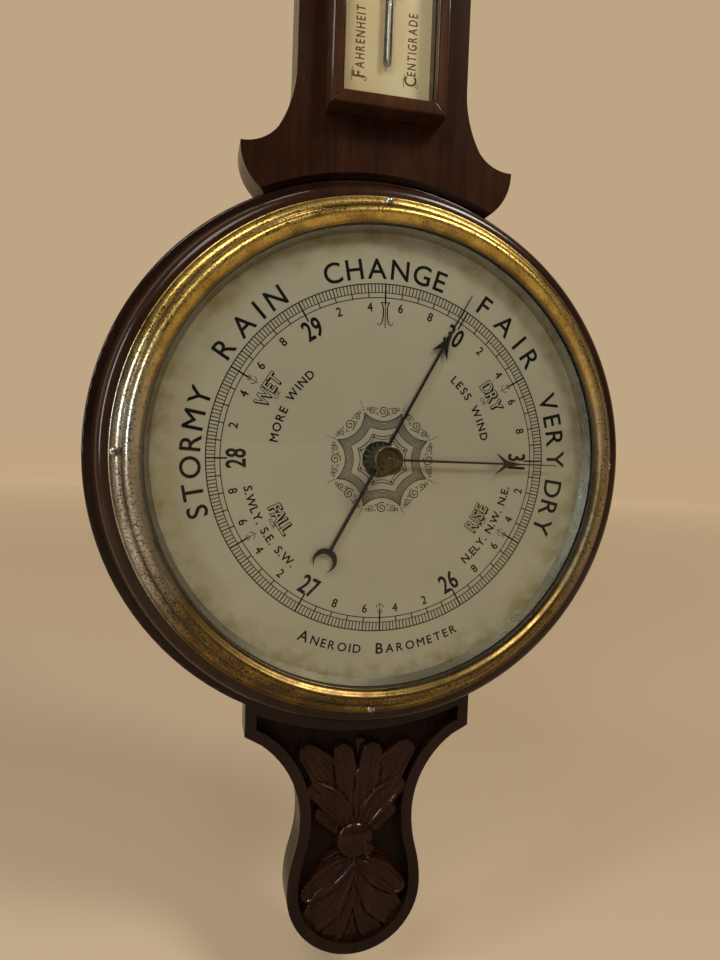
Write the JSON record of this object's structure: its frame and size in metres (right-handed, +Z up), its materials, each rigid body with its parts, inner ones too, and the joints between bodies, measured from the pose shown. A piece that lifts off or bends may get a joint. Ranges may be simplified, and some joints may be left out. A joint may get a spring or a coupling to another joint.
{
  "type": "aneroid barometer",
  "caption": "Banjo-shaped wooden wall barometer: round bezelled dial with two hands and an aneroid movement, boxed thermometer on the neck, carved drop and head.",
  "frame": {"origin": "the dial's axis at the wall plane, on the back cover's face", "axes": "+X right as seen from the front, +Y into the wall, +Z up along the neck; the dial faces -Y"},
  "size_m": [0.264, 0.0535, 0.8412],
  "materials": {
    "mahogany": "french polished dark red-brown, gloss",
    "dowel_wood": "plain, unfinished",
    "lacquered_brass": "lacquered, aged and spotted",
    "dark_brass": "darkened by handling, satin",
    "movement_brass": "satin",
    "nickel_silver": "satin",
    "silvered_brass": "silvered, matt, with black printed figures",
    "blued_steel": "dark blued, satin",
    "bright_steel": "polished",
    "clear_glass": "clear, polished",
    "tube_glass": "clear",
    "mercury": "mirror",
    "ivory_plate": "cream, satin, with dark printed figures",
    "putty": "dull black",
    "japanned_steel": "black, semi-gloss"
  },
  "bodies": {
    "case": {"back_cover": "japanned_steel", "back_cover_screws": "movement_brass", "base_plate": "movement_brass", "bezel": "lacquered_brass", "bezel_screws": "bright_steel", "board_dowels": "dowel_wood", "box_glass": "clear_glass", "box_rail_bottom": "mahogany", "box_rail_left": "mahogany", "box_rail_right": "mahogany", "box_rail_top": "mahogany", "bridge_pillars": "movement_brass", "bush_nut": "dark_brass", "capsule_back": "nickel_silver", "capsule_front": "nickel_silver", "capsule_nut": "movement_brass", "capsule_post": "movement_brass", "capsule_stud": "movement_brass", "case_board": "mahogany", "chain": "bright_steel", "cock_pillars": "movement_brass", "dial_glass": "clear_glass", "dial_pillars": "movement_brass", "dial_plate": "silvered_brass", "dial_ring": "mahogany", "drop_boss": "mahogany", "drop_leaf_lower": "mahogany", "drop_leaf_upper": "mahogany", "glass_bush": "dark_brass", "glass_packing": "putty", "hairspring_stud": "bright_steel", "hanging_plate": "lacquered_brass", "hanging_plate_screws": "movement_brass", "head_board": "mahogany", "head_leaf": "mahogany", "lower_bridge": "movement_brass", "main_spring": "bright_steel", "mercury": "mercury", "neck_board": "mahogany", "scale_pins": "movement_brass", "scale_plate": "ivory_plate", "shaft_brackets": "movement_brass", "sight_ring": "silvered_brass", "spring_bracket": "bright_steel", "spring_screws": "bright_steel", "thermometer_tube": "tube_glass", "tube_clips": "movement_brass", "upper_cock": "movement_brass"},
    "hand_train": {"indicating_hand": "blued_steel", "hand_collet": "blued_steel", "hand_arbor": "bright_steel", "hairspring": "bright_steel"},
    "set_hand_train": {"set_hand": "dark_brass", "set_hand_knob": "dark_brass"},
    "lever_train": {"main_lever": "bright_steel", "link_wire": "bright_steel"},
    "rocker_train": {"rocking_shaft": "bright_steel"},
    "adjuster": {"adjusting_screw": "bright_steel"}
  },
  "joints": [
    {"name": "indicating_hand_turn", "type": "hinge", "parent": "case", "child": "hand_train", "pos_m": [0, -0.0375, 0], "axis": [0, 1, 0], "range_deg": [-239, 62], "deforming": ["hairspring", "chain"]},
    {"name": "set_hand_turn", "type": "hinge", "parent": "case", "child": "set_hand_train", "pos_m": [0, -0.0452, 0], "axis": [0, 1, 0], "continuous": true},
    {"name": "main_lever_rock", "type": "hinge", "parent": "case", "child": "lever_train", "pos_m": [-0.042, -0.0204, 0], "axis": [0, 0, 1], "range_deg": [-1, 0.3], "deforming": ["main_spring", "capsule_front", "capsule_back", "capsule_post"]},
    {"name": "rocking_shaft_turn", "type": "hinge", "parent": "case", "child": "rocker_train", "pos_m": [0.0435, -0.019, 0], "axis": [0, 0, 1], "range_deg": [-6, 22.5]},
    {"name": "adjusting_screw_turn", "type": "hinge", "parent": "case", "child": "adjuster", "pos_m": [-0.042, -0.006, 0], "axis": [0, 1, 0], "range_deg": [-180, 180]}
  ],
  "couplings": [
    {"joint": "main_lever_rock", "follows": "indicating_hand_turn", "ratio": 0.004},
    {"joint": "rocking_shaft_turn", "follows": "indicating_hand_turn", "ratio": -0.0927}
  ]
}
